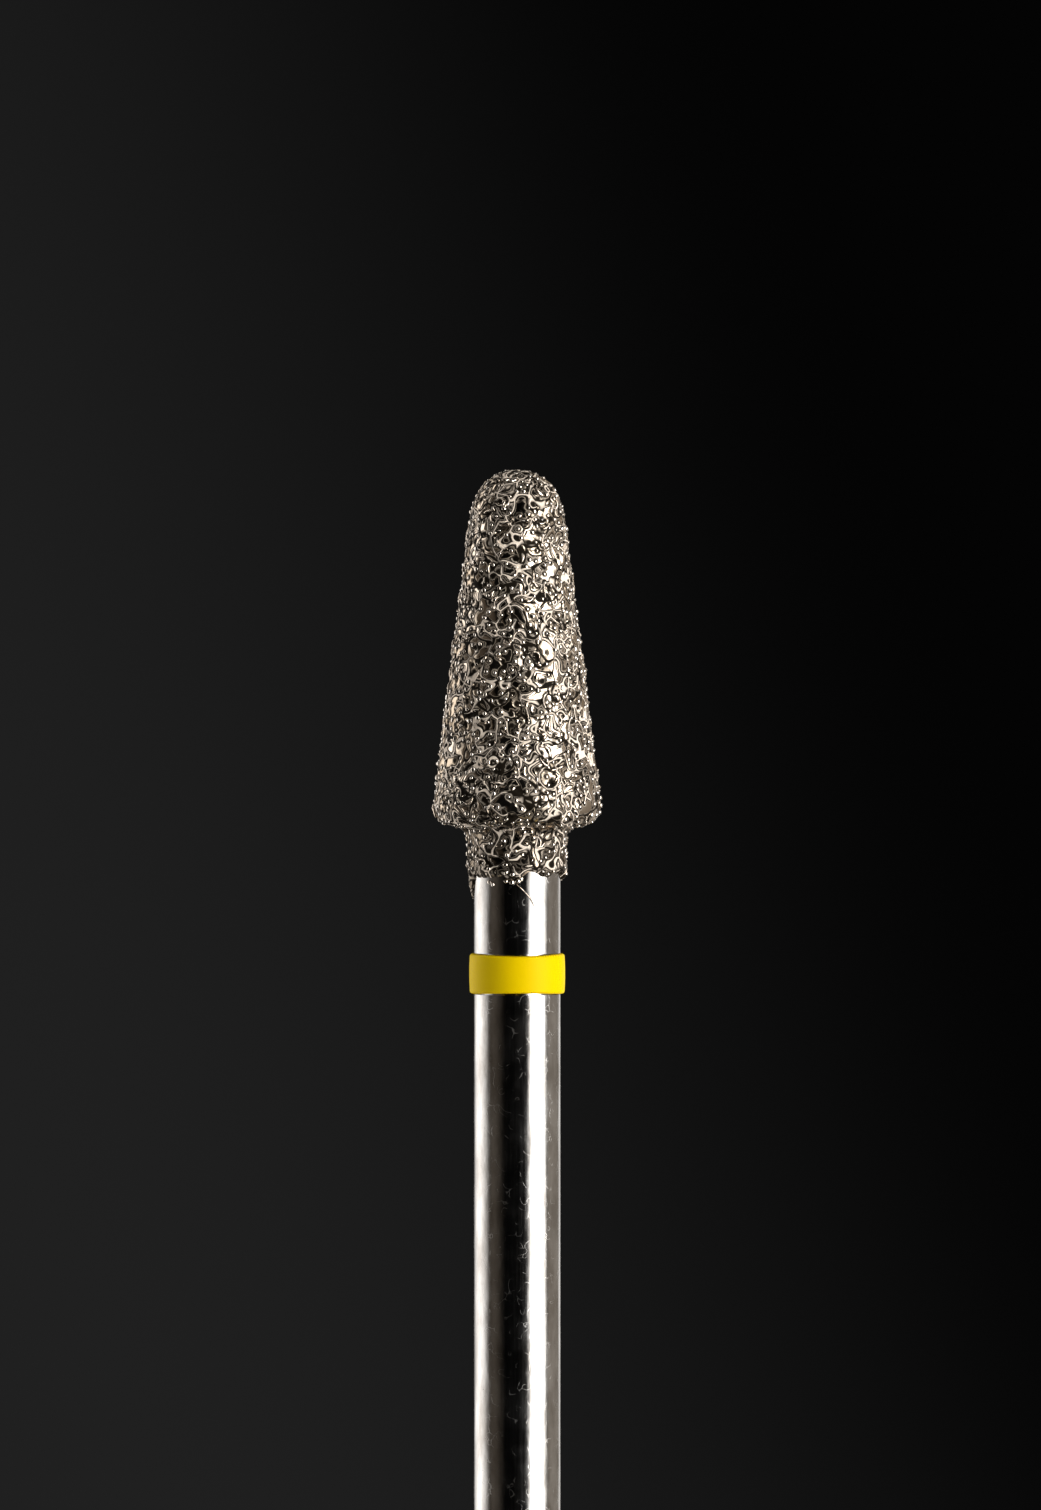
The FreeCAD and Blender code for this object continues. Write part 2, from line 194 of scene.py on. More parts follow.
class Nodes:
    """Adds nodes to a node tree. Sizes are in millimetres, and what is added comes back as a socket."""

    def __init__(self, tree):
        self.tree = tree

    def fill(self, node, inputs):
        """Link a node's inputs to sockets, or set them to plain values."""
        for key, source in inputs.items():
            if isinstance(source, bpy.types.NodeSocket):
                self.tree.links.new(source, node.inputs[key])
            else:
                node.inputs[key].default_value = source

    def add(self, kind, output, inputs=None, **settings):
        node = self.tree.nodes.new("ShaderNode" + kind)
        for key, setting in settings.items():
            setattr(node, key, setting)
        self.fill(node, inputs or {})
        return node.outputs[output]

    def calc(self, operation, *values):
        return self.add("Math", "Value", dict(enumerate(values)), operation=operation)

    def vector(self, operation, *values):
        return self.add("VectorMath", "Vector", dict(enumerate(values)), operation=operation)

    def scaled(self, vector, scale):
        return self.add("VectorMath", "Vector", {0: vector, "Scale": scale}, operation="SCALE")

    def part(self, vector, axis):
        return self.add("SeparateXYZ", axis, {"Vector": vector})

    def blend(self, share, first, second):
        """A colour between two."""
        return self.add("Mix", "Result", {"Factor": share, "A": first, "B": second}, data_type="RGBA")

    def spread(self, source, low, high, first=0.3, last=0.7, curve="LINEAR"):
        """A value carried from the range first to last to the range low to high, and held at its ends."""
        ranges = {"Value": source, "From Min": first, "From Max": last, "To Min": low, "To Max": high}
        return self.add("MapRange", "Result", ranges, interpolation_type=curve)

    def place(self):
        """The place on the object."""
        return self.add("TexCoord", "Object")

    def level(self):
        """What record_level has stored."""
        return self.add("Attribute", "Fac", attribute_name="level")

    def stretched(self, place, share):
        """The place with its height made smaller, which draws a pattern out along the axis."""
        return self.add("Mapping", "Vector", {"Vector": place, "Scale": (1, 1, share)})

    def noise(self, place, size, detail=2.0, roughness=0.5, output="Fac"):
        """Noise whose lumps are about that size."""
        return self.add("TexNoise", output, {"Vector": place, "Scale": 1 / (size * MM), "Detail": detail,
                                             "Roughness": roughness})

    def centred(self, colour):
        """A random colour as a vector that points any way."""
        return self.vector("SUBTRACT", colour, (0.5, 0.5, 0.5))

    def swirled(self, place, size, reach):
        """The place shifted about by noise of that size and reach."""
        swirl = self.centred(self.noise(place, size, 0.0, output="Color"))
        return self.vector("ADD", place, self.scaled(swirl, reach * MM))

    def cells(self, place, size, feature, output):
        """A pattern of uneven cells of about that size."""
        return self.add("TexVoronoi", output, {"Vector": place, "Scale": 1 / (size * MM), "Randomness": 1.0},
                        feature=feature)

    def bump(self, height, strength, distance, normal=None):
        inputs = {"Height": height, "Strength": strength, "Distance": distance * MM}
        if normal is not None:
            inputs["Normal"] = normal
        return self.add("Bump", "Normal", inputs)


def new_material(name):
    """A node material, its shader and what adds nodes to it."""
    material = bpy.data.materials.new(name)
    material.use_nodes = True
    return material, material.node_tree.nodes["Principled BSDF"], Nodes(material.node_tree)


STEEL_DARK = (0.50, 0.47, 0.44, 1)
STEEL_LIGHT = (0.76, 0.74, 0.72, 1)
STEEL_WAVE = 0.008
STREAK_STRETCH = 0.03
MOTTLE_STRETCH = 0.4
SCRATCH_LOOP = 0.42
SCRATCH_WIDTH = 0.025
SCRATCH_DEPTH = 0.004
SCRATCH_ROUGHNESS = 0.22


def steel_material():
    """Polished steel, slightly wavy and mottled, with fine streaks and curly scratches."""
    material, shader, nodes = new_material("polished_steel")
    place = nodes.place()
    long = nodes.stretched(place, MOTTLE_STRETCH)
    mottle = nodes.spread(nodes.noise(long, 0.5, 4, 0.6), 0.0, 1.0, 0.36, 0.64)
    streaks = nodes.noise(nodes.stretched(place, STREAK_STRETCH), 0.05, 3)
    smears = nodes.spread(nodes.noise(place, 0.7, 5), 0.0, 0.06, 0.42, 0.7)
    marks = nodes.cells(nodes.swirled(place, 0.3, 0.5), SCRATCH_LOOP, "DISTANCE_TO_EDGE", "Distance")
    chosen = nodes.spread(nodes.noise(place, 0.3, 1), 0.0, 1.0, 0.5, 0.62)
    cut = nodes.calc("MULTIPLY", nodes.spread(marks, 1.0, 0.0, 0.0, SCRATCH_WIDTH), chosen)
    rough = nodes.calc("ADD", nodes.spread(streaks, 0.11, 0.16), smears)
    waved = nodes.bump(nodes.noise(long, 0.35, 2), 1.0, STEEL_WAVE)
    fine = nodes.bump(streaks, 0.15, 0.004, waved)
    nodes.fill(shader, {"Base Color": nodes.blend(mottle, STEEL_DARK, STEEL_LIGHT), "Metallic": 1.0,
                        "Roughness": nodes.calc("MULTIPLY_ADD", cut, SCRATCH_ROUGHNESS, rough),
                        "Normal": nodes.bump(cut, 0.3, -SCRATCH_DEPTH, fine)})
    return material


PATCH_SIZE = 0.5
PATCH_SWIRL = 0.5
PATCH_REACH = 0.85
PATCH_TILT = 0.26
PATCH_RELIEF = 0.014
DOME_HEIGHT = 1.6
LINE_HEIGHT = 1.6
LINE_REACH = (0.035, 0.065)
LINE_WIDENING = 0.055
CREVICE_REACH = (0.06, 0.105)
STROKE_SPACING = 0.23
STROKE_DEPTH = 0.25
STROKE_SHADE_TONES = (1.0, 0.2)
STRUCK_PATCHES = (0.35, 0.45)
PIT_SHADE_LEVELS = (0.05, 0.45)
TOP_HIGHLIGHT_LEVELS = (0.6, 0.9)
NECK_SHADE_TONE = 0.4
NECK_SHADE_BLEND = 0.5
NICKEL_DULL = (0.66, 0.54, 0.41, 1)
NICKEL_BRIGHT = (1.0, 0.87, 0.735, 1)
PIT_SHADE_COLOUR = (0.012, 0.009, 0.006, 1)
TOP_HIGHLIGHT_COLOUR = (0.96, 0.83, 0.70, 1)


def nickel_material():
    """Plated metal in domed, finely stroked patches, with painted shade in the crevices and pits and painted
    highlights on the thin lines between and on the tops.
    """
    material, shader, nodes = new_material("plated_nickel")
    place = nodes.place()
    level = nodes.level()
    bent = nodes.swirled(place, PATCH_SWIRL, PATCH_REACH)
    chance = nodes.cells(bent, PATCH_SIZE, "F1", "Color")
    border = nodes.cells(bent, PATCH_SIZE, "DISTANCE_TO_EDGE", "Distance")

    # Some borders are raised as lines, with wider crevices beside them; the crevices and the low levels are
    # painted dark as shade
    raised = nodes.spread(nodes.noise(place, 0.5, 0), 0.0, 1.0, 0.47, 0.53)
    line = nodes.calc("MULTIPLY", nodes.spread(border, 1.0, 0.0, *LINE_REACH), raised)
    widened = nodes.calc("MULTIPLY_ADD", raised, -LINE_WIDENING, border)
    crevice = nodes.spread(widened, 1.0, 0.0, *CREVICE_REACH)
    pit = nodes.calc("MAXIMUM", crevice, nodes.spread(level, 1.0, 0.0, *PIT_SHADE_LEVELS))
    # Painted highlight: the raised lines and the high levels take a bright colour
    top = nodes.calc("MAXIMUM", line, nodes.spread(level, 0.0, 1.0, *TOP_HIGHLIGHT_LEVELS))

    # Strokes run along the borders in more than half of the patches
    turns = nodes.calc("MULTIPLY", border, FULL_TURN / STROKE_SPACING)
    struck = nodes.spread(nodes.part(chance, "Y"), 0.0, 1.0, *STRUCK_PATCHES)
    stroke = nodes.calc("MULTIPLY", nodes.calc("COSINE", turns), struck)

    # Each patch has its own tone, and painted shade darkens the neck under the head's overhang
    plain = nodes.blend(nodes.part(chance, "Z"), NICKEL_DULL, NICKEL_BRIGHT)
    # Painted shade darkens the grooves of the strokes
    plain = nodes.scaled(plain, nodes.spread(stroke, *STROKE_SHADE_TONES, 0.2, 0.95))
    neck_shade = nodes.spread(nodes.part(place, "Z"), NECK_SHADE_TONE, 1.0, (SHOULDER_HEIGHT - NECK_SHADE_BLEND) * MM,
                          (SHOULDER_HEIGHT + NECK_SHADE_BLEND) * MM)
    plain = nodes.scaled(plain, neck_shade)
    tone = nodes.blend(top, nodes.blend(pit, plain, PIT_SHADE_COLOUR), TOP_HIGHLIGHT_COLOUR)
    bare = nodes.calc("MAXIMUM", pit, nodes.spread(top, 0.0, 0.035, 0.0, 1.0))

    tilt = nodes.scaled(nodes.centred(chance), PATCH_TILT)
    facing = nodes.vector("NORMALIZE", nodes.vector("ADD", nodes.add("NewGeometry", "Normal"), tilt))
    dome = nodes.spread(border, 0.0, 1.0, 0.05, 0.4)
    shape = nodes.calc("MULTIPLY_ADD", dome, DOME_HEIGHT, nodes.calc("MULTIPLY", line, LINE_HEIGHT))
    shape = nodes.calc("MULTIPLY_ADD", stroke, -STROKE_DEPTH, shape)
    nodes.fill(shader, {"Base Color": tone, "Roughness": nodes.spread(pit, 0.17, 0.6, 0.0, 1.0),
                        "Metallic": nodes.spread(bare, 1.0, 0.0, 0.0, 1.0),
                        "Specular IOR Level": 0.05, "Specular Tint": (0.6, 0.55, 0.5, 1),
                        "Normal": nodes.bump(shape, 1.0, PATCH_RELIEF, facing)})
    return material


GRAIN_DULL = (0.88, 0.77, 0.65, 1)
GRAIN_BRIGHT = (0.98, 0.92, 0.85, 1)
GRAIN_SHADE = (0.015, 0.012, 0.009, 1)


def crystal_material():
    """Grains under a thin bright film, with painted shade where they sink into the nickel."""
    material, shader, nodes = new_material("diamond_crystals")
    place = nodes.place()
    bright = nodes.blend(nodes.spread(nodes.noise(place, 0.2), 0, 1), GRAIN_DULL, GRAIN_BRIGHT)
    nodes.fill(shader, {"Base Color": nodes.blend(nodes.level(), GRAIN_SHADE, bright), "Metallic": 1.0,
                        "Roughness": nodes.spread(nodes.noise(place, 0.3), 0.1, 0.2)})
    return material


YELLOW_DEEP = (0.82, 0.575, 0.0, 1)
YELLOW_LIGHT = (0.87, 0.615, 0.0, 1)
PEEL_SIZE = 0.12
PEEL_DEPTH = 0.01


def yellow_material():
    """Glossy yellow paint with a faint orange peel."""
    material, shader, nodes = new_material("yellow_band")
    place = nodes.place()
    nodes.fill(shader, {"Base Color": nodes.blend(nodes.noise(place, 0.5, 4), YELLOW_DEEP, YELLOW_LIGHT),
                        "Roughness": nodes.spread(nodes.noise(place, 0.15, 4), 0.36, 0.46),
                        "Specular IOR Level": 0.04,
                        "Normal": nodes.bump(nodes.noise(place, PEEL_SIZE, 3), 0.12, PEEL_DEPTH)})
    return material


# Turned pieces

TURNED_SEGMENTS = 256
RING_PINCH = 0.045


def steel_outline():
    """Half outline of the blank from the axis at its end round to the axis at its tip."""
    seat_low = RING_BOTTOM - RING_CLEARANCE
    seat_high = RING_TOP + RING_CLEARANCE
    back = (-math.cos(SHOULDER_SLOPE) * SHOULDER_CHAMFER, -math.sin(SHOULDER_SLOPE) * SHOULDER_CHAMFER)
    side = (-math.sin(TAPER_LEAN) * SHOULDER_CHAMFER, math.cos(TAPER_LEAN) * SHOULDER_CHAMFER)
    outline = [(0, 0), (SHANK_RADIUS - END_CHAMFER, 0), (SHANK_RADIUS, END_CHAMFER)]
    outline += [(SHANK_RADIUS, seat_low), (SEAT_RADIUS, seat_low)]
    outline += [(SEAT_RADIUS, seat_high), (SHANK_RADIUS, seat_high), (SHANK_RADIUS, NECK_HEIGHT)]
    outline += [(HEAD_RADIUS + back[0], SHOULDER_HEIGHT + back[1])]
    outline += [(HEAD_RADIUS + side[0], SHOULDER_HEIGHT + side[1])]
    dome = arc(TIP_CENTRE, TIP_RADIUS, TAPER_LEAN, QUARTER_TURN, 16)
    return outline + dome[:-1] + [(0, TIP_HEIGHT)]


def steel_piece(material):
    points, faces = turned(steel_outline(), TURNED_SEGMENTS)
    piece = new_piece("turned_steel_blank", points, faces, material, sharp=20)
    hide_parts("steel_blank")
    return piece


def ring_piece(material):
    """The crowned band, a little narrower in front and behind than at its sides."""
    middle = (RING_BOTTOM + RING_TOP) / 2
    crown = (RING_HEIGHT ** 2 / 4 + RING_CROWN ** 2) / (2 * RING_CROWN)
    centre = RING_RADIUS - crown
    reach = math.asin((RING_HEIGHT / 2 - RING_EDGE_ROUND) / (crown - RING_EDGE_ROUND))
    edge = centre + (crown - RING_EDGE_ROUND) * math.cos(reach)
    bore = SEAT_RADIUS + RING_CLEARANCE
    outline = [(bore, RING_BOTTOM)]
    outline += arc((edge, RING_BOTTOM + RING_EDGE_ROUND), RING_EDGE_ROUND, -QUARTER_TURN, -reach, 12)
    outline += arc((centre, middle), crown, -reach, reach, 24)[1:-1]
    outline += arc((edge, RING_TOP - RING_EDGE_ROUND), RING_EDGE_ROUND, reach, QUARTER_TURN, 12)
    outline += [(bore, RING_TOP)]
    points, faces = turned(outline, TURNED_SEGMENTS)
    last = (len(outline) - 1) * TURNED_SEGMENTS
    for step in range(TURNED_SEGMENTS):
        after = (step + 1) % TURNED_SEGMENTS
        faces.append((last + step, last + after, after, step))
    points = np.array(points)
    turn = np.arctan2(points[:, 1], points[:, 0])
    share = (points[:, 2] - middle) / (RING_HEIGHT / 2)
    points[:, 2] -= RING_PINCH * share ** 3 * np.sin(turn) ** 2
    piece = new_piece("colour_band", points, faces, material, sharp=50)
    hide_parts("colour_ring")
    return piece


# Coat

# Size of its mesh, and the radius and height that nothing on the head passes
CELL = 0.0395
WIDEST = 2.31
HIGHEST = 44.488

# Fields of waves, each with its length, height and seed
LUMPS = ((0.7, 0.010, 32), (0.35, 0.003, 33))
EDGE_RAGS = ((0.45, 0.02, 11), (0.17, 0.025, 12))
PIT_SPACING = 0.3
PIT_SEED = 31
PIT_PEAKS = (1.0, 1.7)
PIT_DEPTH = 0.04
PIT_SHADE = 0.9
PLAIN_LEVEL = 0.5

# Lobes, share and shift of the edge's swells, and middle, width and height of the places where it lifts
EDGE_SWELLS = ((3, 0.55, 0.6), (8, 0.45, 2.0))
EDGE_LIFTS = ((FRONT, 0.4, 0.13), (0.0, 0.45, 0.1))
DRIP_LENGTH = 0.6
DRIP_WIDTH = math.radians(12)
DRIP_SWELL = 0.05
LIP_STEPS = 4
LIP_CURVE = 1.5
LIP_THICKNESS = 0.03
LIP_HEIGHT = 0.14
LIP_OVERLAP = 0.08


def rounded(corner, before, after, round_radius):
    """Points of the arc that rounds the offset corner between two directions down the outline."""
    first = np.array((-before[1], before[0]))
    second = np.array((-after[1], after[0]))
    bisector = (first + second) / (1 + first @ second)
    corner = np.array(corner) + bisector * BOND_THICKNESS
    turn = math.atan2(before[0] * after[1] - before[1] * after[0], before @ after)
    side = -math.copysign(1, turn)
    centre = corner - bisector * round_radius * side
    start = math.atan2(*(first * side)[::-1])
    return arc(centre, round_radius, start, start + turn, 30)


def coat_outline():
    """Half outline of the coat's outer face as evenly spaced points, from the tip to the neck."""
    taper_way = np.array((math.sin(TAPER_LEAN), -math.cos(TAPER_LEAN)))
    back_way = np.array((-math.cos(SHOULDER_SLOPE), -math.sin(SHOULDER_SLOPE)))
    neck_way = np.array((0.0, -1.0))
    path = arc(TIP_CENTRE, TIP_RADIUS + BOND_THICKNESS, QUARTER_TURN, TAPER_LEAN, 60)
    path += rounded((HEAD_RADIUS, SHOULDER_HEIGHT), taper_way, back_way,
                    SHOULDER_CHAMFER + BOND_THICKNESS)
    path += rounded((SHANK_RADIUS, NECK_HEIGHT), back_way, neck_way, BOND_NECK_ROUND)
    path.append((SHANK_RADIUS + BOND_THICKNESS, NECK_HEIGHT - NECK_COAT))
    path = np.array(path)
    travel = np.concatenate(([0], np.cumsum(np.linalg.norm(np.diff(path, axis=0), axis=1))))
    rows = round(travel[-1] / CELL)
    even = np.linspace(0, travel[-1], rows + 1)
    return np.stack([np.interp(even, travel, path[:, 0]), np.interp(even, travel, path[:, 1])], axis=1)


def edge_drop(turns):
    """How far the coat's ragged edge hangs below its mean height, in millimetres."""
    swell = sum(share * np.sin(lobes * turns + shift) for lobes, share, shift in EDGE_SWELLS)
    ring = np.stack([np.cos(turns), np.sin(turns), np.zeros_like(turns)], axis=1)
    rag = layered(ring, EDGE_RAGS)
    for middle, width, lift in EDGE_LIFTS:
        rag -= lift * hump(turns, middle, width)
    return EDGE_WAVE * swell + rag


def join_rings(upper, lower, turns, faces):
    """A belt of triangles between two rings of points, which are listed in order of angle."""
    high = 0
    low = 0
    high_count = len(upper)
    low_count = len(lower)
    while high < high_count or low < low_count:
        next_high = turns[upper[high]] + FULL_TURN / high_count if high < high_count else math.inf
        next_low = turns[lower[low]] + FULL_TURN / low_count if low < low_count else math.inf
        here = upper[high % high_count]
        there = lower[low % low_count]
        if next_high <= next_low:
            faces.append((here, there, upper[(high + 1) % high_count]))
            high += 1
        else:
            faces.append((here, there, lower[(low + 1) % low_count]))
            low += 1


def coat_lattice():
    """Points, outward directions, angles, rings and faces of the plain coat, before its relief."""
    outline = coat_outline()
    ways = np.gradient(outline, axis=0)
    ways /= np.linalg.norm(ways, axis=1)[:, None]
    points = [(0, 0, outline[0][1])]
    outward = [(0, 0, 1)]
    turns = [0.0]
    rings = [[0]]
    faces = []
    for number in range(1, len(outline)):
        radius, height = outline[number]
        count = max(6, round(FULL_TURN * radius / CELL))
        angles = FULL_TURN * (np.arange(count) + number % 2 / 2) / count
        down = max(0, NECK_HEIGHT - height) / NECK_COAT
        heights = height - down * edge_drop(angles)
        rings.append(list(range(len(points), len(points) + count)))
        out = (-ways[number][1], ways[number][0])
        points += zip(radius * np.cos(angles), radius * np.sin(angles), heights)
        outward += zip(out[0] * np.cos(angles), out[0] * np.sin(angles), np.full(count, out[1]))
        turns += list(angles)
        join_rings(rings[-2], rings[-1], turns, faces)
    return np.array(points), np.array(outward), np.array(turns), rings, faces


def coat_piece(material):
    """The nickel layer with its lumps and pits, its ragged edge and its drip."""
    points, outward, turns, rings, faces = coat_lattice()
    pits = smooth_step(waves(points, PIT_SPACING, PIT_SEED), *PIT_PEAKS)
    heights = layered(points, LUMPS) - PIT_DEPTH * pits
    # Painted shade: the level falls in the pits, and the material paints the low levels dark
    levels = PLAIN_LEVEL * (1 - PIT_SHADE * pits)
    points = points + outward * heights[:, None]

    # The lip thins out down the neck, and a last ring closes the coat inside the steel
    edge = rings[-1]
    base = points[edge]
    radius = np.hypot(base[:, 0], base[:, 1])
    drips = hump(turns[edge], LEFT, DRIP_WIDTH)
    belts = []
    for share in np.linspace(1 / LIP_STEPS, 1, LIP_STEPS):
        thin = SHANK_RADIUS + LIP_THICKNESS + DRIP_SWELL * drips * (1 - share)
        scale = (radius + (thin - radius) * share ** LIP_CURVE) / radius
        drop = share * (LIP_HEIGHT + DRIP_LENGTH * drips)
        belts.append(np.hstack([base[:, :2] * scale[:, None], (base[:, 2] - drop)[:, None]]))
    lip = belts[-1]
    scale = (SHANK_RADIUS - LIP_OVERLAP) / np.hypot(lip[:, 0], lip[:, 1])
    belts.append(np.hstack([lip[:, :2] * scale[:, None], lip[:, 2:]]))
    for belt in belts:
        ring = list(range(len(points), len(points) + len(edge)))
        points = np.vstack([points, belt])
        turns = np.concatenate([turns, turns[edge]])
        levels = np.concatenate([levels, levels[edge]])
        join_rings(rings[-1], ring, turns, faces)
        rings.append(ring)
    faces.append(tuple(rings[-1][::-1]))

    piece = new_piece("nickel_coat", held_in(points), faces, material)
    record_level(piece, levels)
    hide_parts("nickel_bond")
    return piece


def held_in(points):
    """The points kept within the head's greatest radius and height."""
    points = np.array(points, float)
    radii = np.hypot(points[:, 0], points[:, 1])
    points[:, :2] *= np.minimum(1, WIDEST / np.maximum(radii, 1e-6))[:, None]
    points[:, 2] = np.minimum(points[:, 2], HIGHEST)
    return points


def record_level(piece, levels):
    """Store for the material whether each point is in a pit, 0, on plain nickel, 0.5, or on a top, 1; the
    material paints shade at the low levels and a highlight at the high ones.
    """
    levels = np.asarray(levels, np.float32)
    piece.data.attributes.new("level", "FLOAT", "POINT").data.foreach_set("value", levels)


def surface(coat):
    """Places of the coat's points in millimetres, and the outward ways there."""
    vertices = coat.data.vertices
    return np.array([vertex.co for vertex in vertices]) / MM, np.array([vertex.normal for vertex in vertices])


LIP_PROUD = 0.09
LIP_REACH = 1


def coat_points(places):
    """Numbers of the coat's points that lie on its outside, above the thin edge."""
    radii = np.hypot(places[:, 0], places[:, 1])
    return np.flatnonzero((radii > SHANK_RADIUS + LIP_PROUD) | (places[:, 2] > NECK_HEIGHT + LIP_REACH))


def front_of_shank(x, z):
    """A place on the shank's front and the outward way there."""
    y = -math.sqrt(SHANK_RADIUS ** 2 - x ** 2)
    return np.array((x, y, z)), np.array((x, y, 0)) / SHANK_RADIUS


SHADE_START = 0.55
SHADE_LEAST = 0.1


def shade_round(coat, spots, reach):
    """Paint shade on the nickel close round the ridges and crystals that stand in it, by lowering its level.
    """
    tree = tree_of(spots)
    distances = np.array([tree.find(vertex.co / MM)[2] for vertex in coat.data.vertices])
    shares = SHADE_LEAST + (1 - SHADE_LEAST) * smooth_step(distances, SHADE_START * reach, reach)
    stored = coat.data.attributes["level"].data
    levels = np.empty(len(distances), np.float32)
    stored.foreach_get("value", levels)
    stored.foreach_set("value", levels * shares)


# Ridges

RIDGE_COUNT = 330
RIDGE_SEED = 51
RIDGE_STEP = 0.045
RIDGE_STEPS = (6, 15)
FEWEST_STEPS = 4
RIDGE_BEND = 6
BEND_CHANGE = 1.5
RIDGE_EDGE_GAP = 0.1
RIDGE_RADII = (0.03, 0.048)
RIDGE_SHADE = 0.08

# Form of their section, with the levels of its top, its flanks and the tube's ends, which paint a highlight
# on the top and shade on the flanks and ends
TUBE_SIDES = 5
TUBE_FIRST_SIDE = 0.25
TUBE_TALLNESS = 1.3
TUBE_END_SINK = 0.4
TUBE_HIGHLIGHT_AND_SHADE_LEVELS = (1.0, 0.3, 0.2)

# The thin run of nickel on the shank's front, as (x, z) pairs
RUN = ((-0.14, 33.42), (-0.005, 33.20), (0.18, 33.04), (0.35, 32.85), (0.43, 32.68), (0.48, 32.55))
RUN_RADIUS = 0.022


def ridge_path(start, places, ways, tree, chance):
    """A path that bends its way over the coat, as (place, outward way) pairs."""
    place = places[start]
    heading = np.cross(ways[start], chance.normal(size=3))
    bend = chance.normal(scale=RIDGE_BEND)
    path = []
    for _ in range(chance.integers(*RIDGE_STEPS)):
        nearest = tree.find(place)[1]
        way = ways[nearest]
        place = place - way * ((place - places[nearest]) @ way)
        path.append((place, way))
        heading -= way * (heading @ way)
        heading /= np.linalg.norm(heading)
        heading += np.cross(way, heading) * bend * RIDGE_STEP
        bend += chance.normal(scale=BEND_CHANGE)
        place = place + heading / np.linalg.norm(heading) * RIDGE_STEP
        if place[2] < NECK_HEIGHT - NECK_COAT + RIDGE_EDGE_GAP:
            break
    return path


def add_tube(points, levels, faces, path, radius):
    """A closed tube round a path of (place, outward way) pairs, tapered at both ends."""
    top_level, flank_level, end_level = TUBE_HIGHLIGHT_AND_SHADE_LEVELS
    spots = np.array([place for place, way in path])
    along = np.gradient(spots, axis=0)
    along /= np.linalg.norm(along, axis=1)[:, None] + 1e-12
    first = len(points)
    points.append(spots[0] - path[0][1] * radius * TUBE_END_SINK)
    levels.append(end_level)
    for number in range(1, len(path) - 1):
        place, way = path[number]
        across = np.cross(along[number], way)
        size = radius * math.sqrt(math.sin(math.pi * number / (len(path) - 1)))
        for side in range(TUBE_SIDES):
            turn = FULL_TURN * (side + TUBE_FIRST_SIDE) / TUBE_SIDES
            points.append(place + (across * math.cos(turn) + way * math.sin(turn) * TUBE_TALLNESS) * size)
            levels.append(top_level if math.sin(turn) > 0.5 else flank_level)
    points.append(spots[-1] - path[-1][1] * radius * TUBE_END_SINK)
    levels.append(end_level)
    last = len(points) - 1
    for side in range(TUBE_SIDES):
        after = (side + 1) % TUBE_SIDES
        faces.append((first, first + 1 + side, first + 1 + after))
        for belt in range(len(path) - 3):
            low = first + 1 + belt * TUBE_SIDES
            high = low + TUBE_SIDES
            faces.append((low + side, high + side, high + after, low + after))
        faces.append((last, last - TUBE_SIDES + after, last - TUBE_SIDES + side))


def ridges_piece(coat, material):
    """Thin curved ridges of nickel that creep over the coat, as closed tapered tubes half sunk in it."""
    places, ways = surface(coat)
    tree = tree_of(places)
    chance = np.random.default_rng(RIDGE_SEED)
    points = []
    levels = []
    faces = []
    spots = []
    for start in chance.choice(coat_points(places), RIDGE_COUNT):
        path = ridge_path(start, places, ways, tree, chance)
        if len(path) < FEWEST_STEPS:
            continue
        add_tube(points, levels, faces, path, chance.uniform(*RIDGE_RADII))
        spots += [place for place, way in path]
    add_tube(points, levels, faces, [front_of_shank(x, z) for x, z in RUN], RUN_RADIUS)
    piece = new_piece("nickel_ridges", held_in(points), faces, material)
    record_level(piece, levels)
    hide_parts("nickel_bond")
    return piece, spots


# Crystals

CRYSTAL_SPACING = 0.18
CRYSTAL_SEED = 43
SHAPE_SEED = 41
ROUND_SHARE = 0.92

# How many shapes and with how many corners, then half sizes, and how deep they sink as a share of them
ROUND_SHAPES = (10, 26)
ROUND_SIZES = (0.056, 0.088)
ROUND_SINKS = (-0.6, -0.2)
SHARP_SHAPES = (14, 8)
SHARP_SIZES = (0.07, 0.1)
SHARP_SINKS = (-0.75, -0.4)
CORNER_REACH = (0.94, 1.04)
STRETCHES = (0.85, 1.15)

# Where they crowd: in loose groups, and in a band at the left of the front
CROWDED = math.radians(-147)
CROWD_WIDTH = 0.3
CROWD_SPACING = 0.55
CROWD_SEED = 44
CROWD_PEAKS = (0.35, 0.9)
LEAST_CROWD = 0.02

# A crystal's level at the nickel's surface, and how fast it rises with the height over it; the low levels are
# painted shade at the crystal's foot
WATERLINE_LEVEL = 0.8
LEVEL_RISE = 0.9
CRYSTAL_SHADE = 0.12

# Strays on the shank's front under the coat, as (x, z) pairs
STRAYS = ((-0.75, 33.26), (-0.66, 33.22), (-0.30, 33.30), (-0.14, 33.27), (0.10, 33.36), (0.02, 33.31))


def crystal_shapes(count, corners):
    """Irregular convex solids of about unit radius, as points and triangles."""
    chance = random.Random(SHAPE_SEED + corners)
    shapes = []
    for _ in range(count):
        shell = bmesh.new()
        for _ in range(corners):
            way = Vector([chance.gauss(0, 1) for _ in range(3)]).normalized()
            shell.verts.new(way * chance.uniform(*CORNER_REACH))
        made = bmesh.ops.convex_hull(shell, input=shell.verts)
        bmesh.ops.delete(shell, geom=[item for item in made["geom_interior"] if item.is_valid],
                         context="VERTS")
        bmesh.ops.triangulate(shell, faces=shell.faces)
        bmesh.ops.recalc_face_normals(shell, faces=shell.faces)
        shell.verts.index_update()
        shapes.append((np.array([vertex.co for vertex in shell.verts]),
                       np.array([[vertex.index for vertex in face.verts] for face in shell.faces])))
        shell.free()
    return shapes


